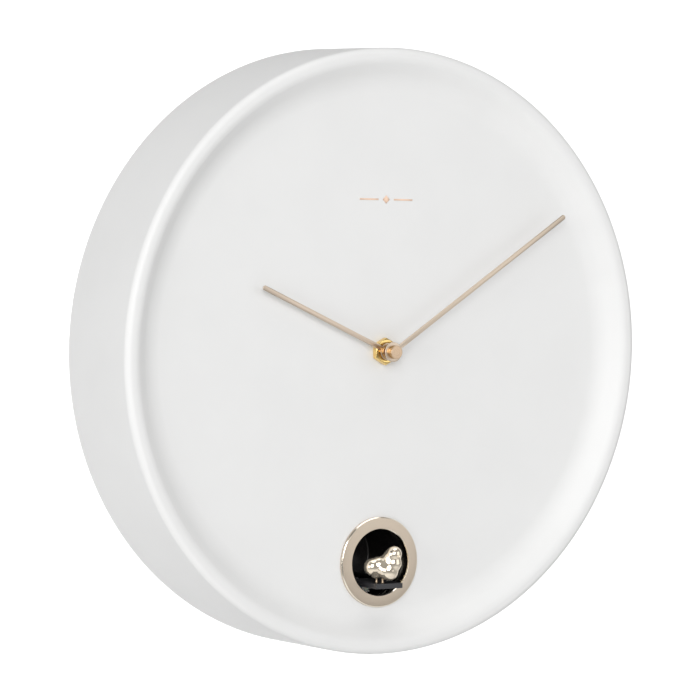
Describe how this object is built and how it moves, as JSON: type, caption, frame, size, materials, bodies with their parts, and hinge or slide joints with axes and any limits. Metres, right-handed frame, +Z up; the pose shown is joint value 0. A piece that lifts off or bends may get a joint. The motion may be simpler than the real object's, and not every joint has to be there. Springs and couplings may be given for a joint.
{
  "type": "wall cuckoo clock",
  "caption": "Round wall cuckoo clock with a dished white case, two plain hands and a small bird that slides out of a round port on a geared sled.",
  "frame": {"origin": "on the hand axis, in the plane of the wall behind the case", "axes": "+Z up, -Y out of the dial towards the viewer, +X to the right of someone facing the dial"},
  "size_m": [0.3, 0.0622, 0.3],
  "materials": {
    "white_shell": "satin white",
    "white_cover": "fine matt texture",
    "rose_foil": "hot foil, satin",
    "screw_steel": "zinc plated",
    "hanger_steel": "zinc plated sheet",
    "bumper_rubber": "matt",
    "black_plastic": "fine matt texture",
    "black_gloss": "gloss black",
    "hub_brass": "polished, pale gold lacquer",
    "core_steel": "plain",
    "white_nylon": "natural nylon",
    "copper_wire": "enamelled copper wire",
    "board_laminate": "green solder mask",
    "magnet": "sintered, dark",
    "hand_gold": "satin pale gold",
    "bezel_champagne": "satin champagne anodised",
    "bird_gold": "mirror champagne gold plate",
    "speaker_paper": "pressed paper",
    "cell_jacket": "plain printed sleeve, no marks",
    "contact_plate": "nickel plated",
    "lead_sleeve": "PVC sleeve"
  },
  "bodies": {
    "case": {"case_shell": "white_shell", "rear_cover": "white_cover", "dial_mark": "rose_foil", "cover_screws": "screw_steel", "small_screws": "screw_steel", "hanger_plate": "hanger_steel", "wall_bumpers": "bumper_rubber", "movement_front": "black_plastic", "movement_back": "black_plastic", "movement_gasket": "bumper_rubber", "threaded_bushing": "hub_brass", "hex_nut": "hub_brass", "stator": "core_steel", "coil_bobbin": "white_nylon", "coil_winding": "copper_wire", "movement_board": "board_laminate", "bezel_ring": "bezel_champagne", "bird_tunnel": "black_gloss", "motor_bracket": "hanger_steel", "motor_can": "core_steel", "motor_end_cap": "black_plastic", "circuit_board": "board_laminate", "board_parts": "black_plastic", "volume_switch": "black_plastic", "button_switch": "black_plastic", "speaker_basket": "core_steel", "speaker_magnet": "magnet", "speaker_cone": "speaker_paper", "battery_tray": "white_cover", "battery_cells": "cell_jacket", "battery_contacts": "contact_plate", "movement_lead": "lead_sleeve", "speaker_lead": "lead_sleeve", "battery_lead": "lead_sleeve", "motor_lead": "lead_sleeve"},
    "minute_train": {"minute_arbor": "hub_brass", "centre_wheel": "white_nylon", "minute_hand": "hand_gold", "minute_collet": "hub_brass", "hand_cap": "hub_brass"},
    "hour_train": {"hour_wheel": "white_nylon", "hour_hand": "hand_gold", "hour_collet": "hub_brass"},
    "motion_work": {"motion_wheel": "white_nylon"},
    "third_train": {"third_wheel": "white_nylon", "third_pinion": "white_nylon"},
    "rotor": {"rotor_pinion": "white_nylon", "rotor_magnet": "magnet"},
    "setting_knob": {"set_arbor": "white_nylon", "set_knob": "black_plastic"},
    "bird_sled": {"perch_sled": "black_plastic", "bird": "bird_gold"},
    "sled_gear": {"sled_gear_shaft": "core_steel", "sled_pinion": "white_nylon", "sled_drive_wheel": "white_nylon"},
    "motor_shaft": {"motor_rotor": "core_steel", "motor_pinion": "hub_brass"},
    "volume_control": {"volume_slider": "black_plastic"},
    "test_push": {"test_button": "black_plastic"},
    "battery_lid": {"battery_door": "white_cover"}
  },
  "joints": [
    {"name": "minute_spin", "type": "hinge", "parent": "case", "child": "minute_train", "pos_m": [0, -0.05, 0], "axis": [0, 1, 0], "continuous": true},
    {"name": "hour_spin", "type": "hinge", "parent": "case", "child": "hour_train", "pos_m": [0, -0.05, 0], "axis": [0, 1, 0], "continuous": true},
    {"name": "motion_spin", "type": "hinge", "parent": "case", "child": "motion_work", "pos_m": [0.003, -0.04, -0.0052], "axis": [0, 1, 0], "continuous": true},
    {"name": "third_spin", "type": "hinge", "parent": "case", "child": "third_train", "pos_m": [-0.00779, -0.035, 0.0045], "axis": [0, 1, 0], "continuous": true},
    {"name": "rotor_spin", "type": "hinge", "parent": "case", "child": "rotor", "pos_m": [-0.01578, -0.035, 0.00159], "axis": [0, 1, 0], "continuous": true},
    {"name": "set_knob_spin", "type": "hinge", "parent": "case", "child": "setting_knob", "pos_m": [0.003, -0.02, -0.0112], "axis": [0, 1, 0], "continuous": true},
    {"name": "bird_slide", "type": "slide", "parent": "case", "child": "bird_sled", "axis": [0, 1, 0], "range_m": [0, 0.0205]},
    {"name": "sled_gear_spin", "type": "hinge", "parent": "case", "child": "sled_gear", "pos_m": [0, -0.0335, -0.1189], "axis": [1, 0, 0], "range_deg": [-400, 10]},
    {"name": "motor_spin", "type": "hinge", "parent": "case", "child": "motor_shaft", "pos_m": [0.0196, -0.0287, -0.1253], "axis": [1, 0, 0], "range_deg": [-10, 1190]},
    {"name": "volume_slide", "type": "slide", "parent": "case", "child": "volume_control", "axis": [1, 0, 0], "range_m": [-0.004, 0.004]},
    {"name": "test_press", "type": "slide", "parent": "case", "child": "test_push", "axis": [0, -1, 0], "range_m": [0, 0.001], "stiffness_N_per_m": 400},
    {"name": "battery_door_hinge", "type": "hinge", "parent": "case", "child": "battery_lid", "pos_m": [0.0451, -0.0042, 0], "axis": [0, 0, 1], "range_deg": [0, 95]}
  ],
  "couplings": [
    {"joint": "hour_spin", "follows": "minute_spin", "ratio": 0.083333},
    {"joint": "motion_spin", "follows": "minute_spin", "ratio": -0.33333},
    {"joint": "third_spin", "follows": "minute_spin", "ratio": -8},
    {"joint": "rotor_spin", "follows": "minute_spin", "ratio": 60},
    {"joint": "set_knob_spin", "follows": "minute_spin", "ratio": 1},
    {"joint": "sled_gear_spin", "follows": "bird_slide", "rad_per_m": -333.33},
    {"joint": "motor_spin", "follows": "bird_slide", "rad_per_m": 1000}
  ]
}
